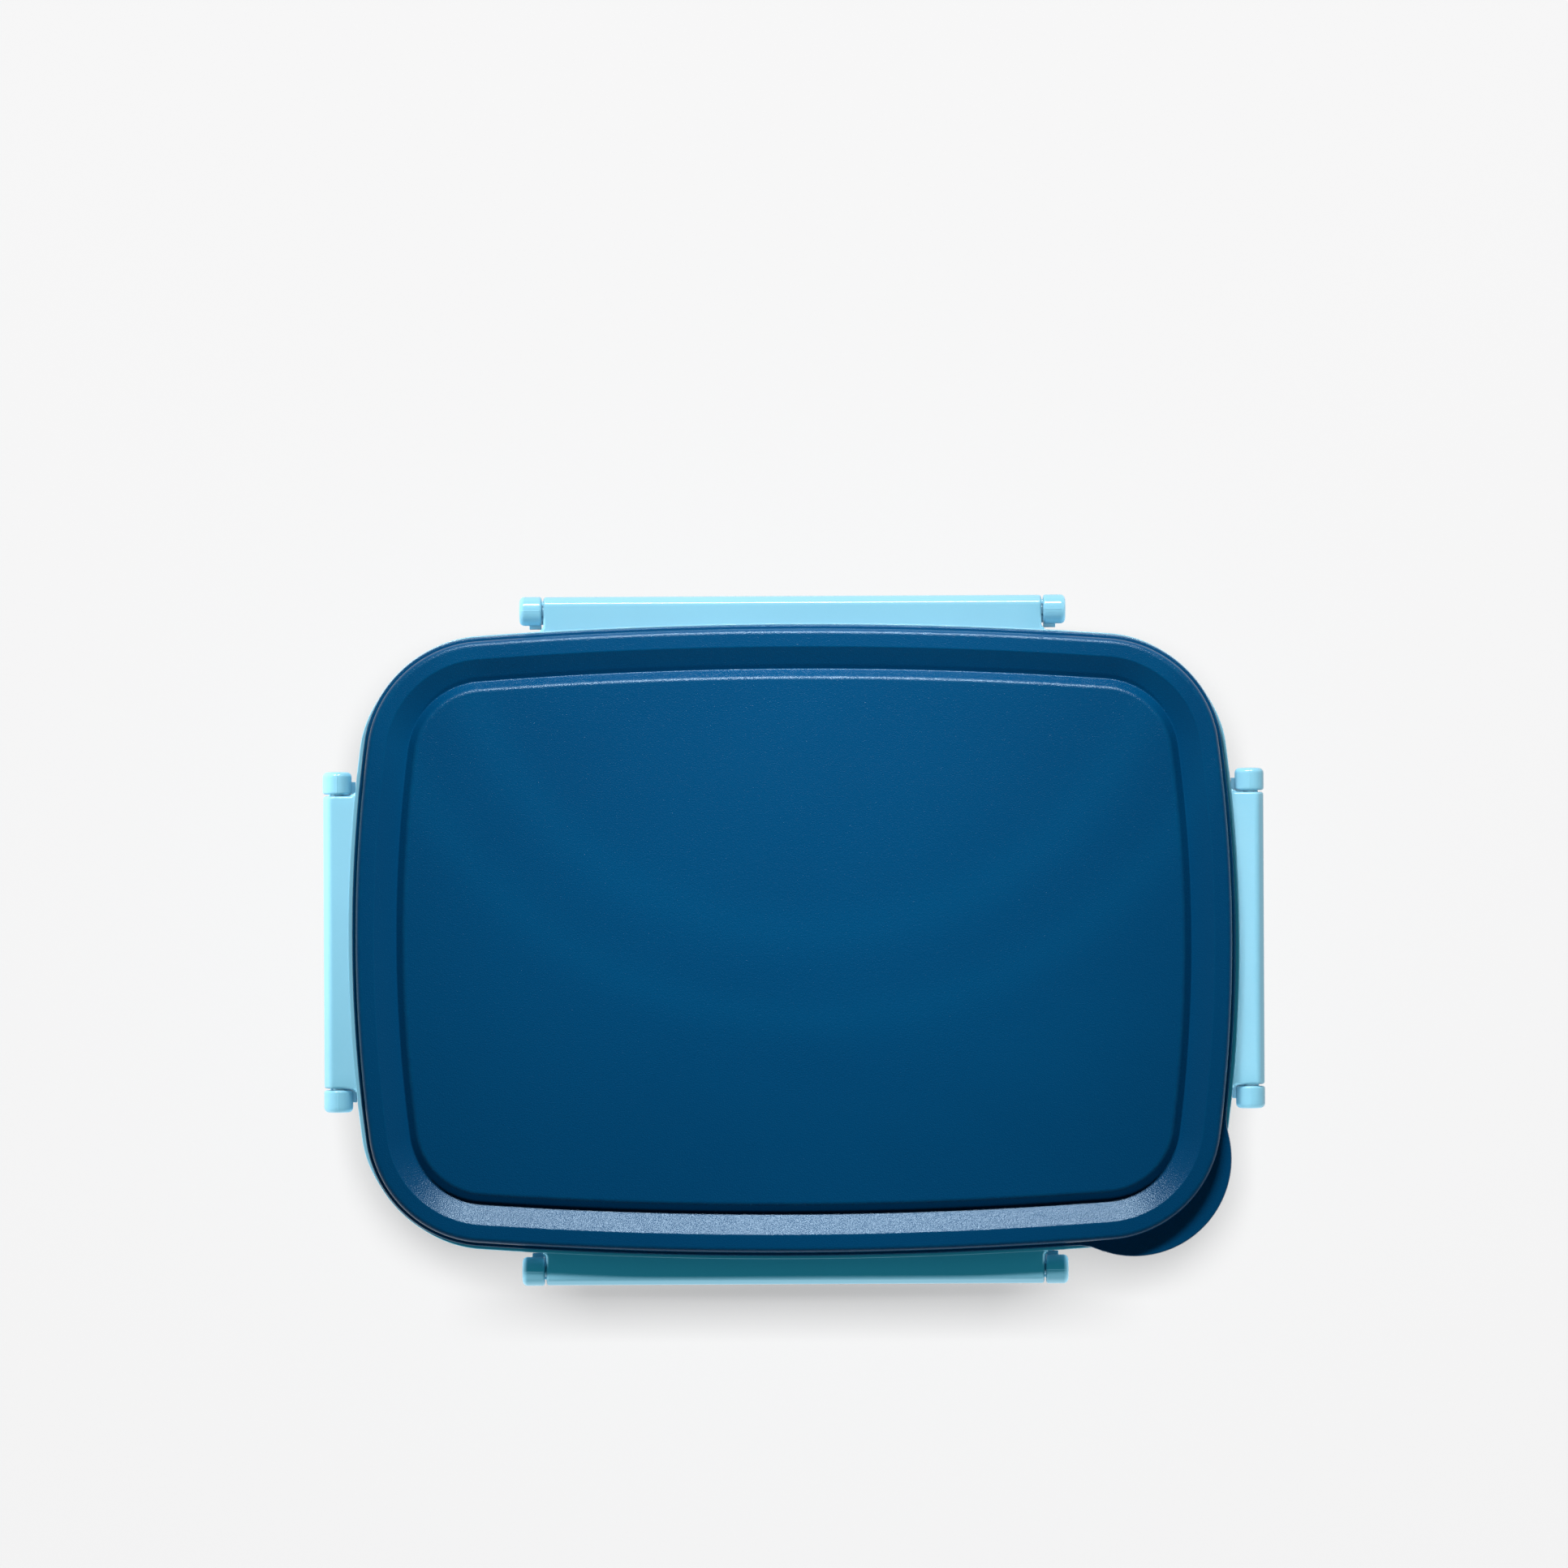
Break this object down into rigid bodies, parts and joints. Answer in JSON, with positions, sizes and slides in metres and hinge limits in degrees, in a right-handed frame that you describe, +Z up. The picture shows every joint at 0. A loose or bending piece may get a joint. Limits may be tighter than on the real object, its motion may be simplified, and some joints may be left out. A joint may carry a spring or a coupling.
{
  "type": "snap lid food container",
  "caption": "Rectangular two-level lunch box with rounded corners: press-on lid with a corner tab, nested upper tray, soft seal, deep base tub and hinged side latches.",
  "frame": {"origin": "centre of the box on the surface that it stands on", "axes": "+X along the length, to the right in the picture; +Y to the back; +Z up"},
  "size_m": [0.2204, 0.1614, 0.0659],
  "materials": {
    "light_blue_plastic": "glossy moulded plastic",
    "dark_blue_plastic": "fine matte moulded texture",
    "clear_silicone": "soft satin silicone"
  },
  "bodies": {
    "base": {"base_tub": "light_blue_plastic"},
    "tray": {"upper_tray": "light_blue_plastic", "seal_ring": "clear_silicone"},
    "lid": {"snap_lid": "dark_blue_plastic"},
    "front_latch": {"latch_front": "light_blue_plastic"},
    "rear_latch": {"latch_rear": "light_blue_plastic"},
    "left_latch": {"latch_left": "light_blue_plastic"},
    "right_latch": {"latch_right": "light_blue_plastic"}
  },
  "joints": [
    {"name": "tray_lift", "type": "slide", "parent": "base", "child": "tray", "axis": [0, 0, 1], "range_m": [0, 0.06]},
    {"name": "lid_lift", "type": "slide", "parent": "tray", "child": "lid", "axis": [0, 0, 1], "range_m": [0, 0.04]},
    {"name": "front_latch_swing", "type": "hinge", "parent": "tray", "child": "front_latch", "pos_m": [0, -0.07725, 0.0567], "axis": [-1, 0, 0], "range_deg": [-8.5, 120]},
    {"name": "rear_latch_swing", "type": "hinge", "parent": "tray", "child": "rear_latch", "pos_m": [0, 0.07725, 0.0567], "axis": [1, 0, 0], "range_deg": [-8.5, 120]},
    {"name": "left_latch_swing", "type": "hinge", "parent": "tray", "child": "left_latch", "pos_m": [-0.10675, 0, 0.0567], "axis": [0, 1, 0], "range_deg": [-8.5, 120]},
    {"name": "right_latch_swing", "type": "hinge", "parent": "tray", "child": "right_latch", "pos_m": [0.10675, 0, 0.0567], "axis": [0, -1, 0], "range_deg": [-8.5, 120]}
  ]
}
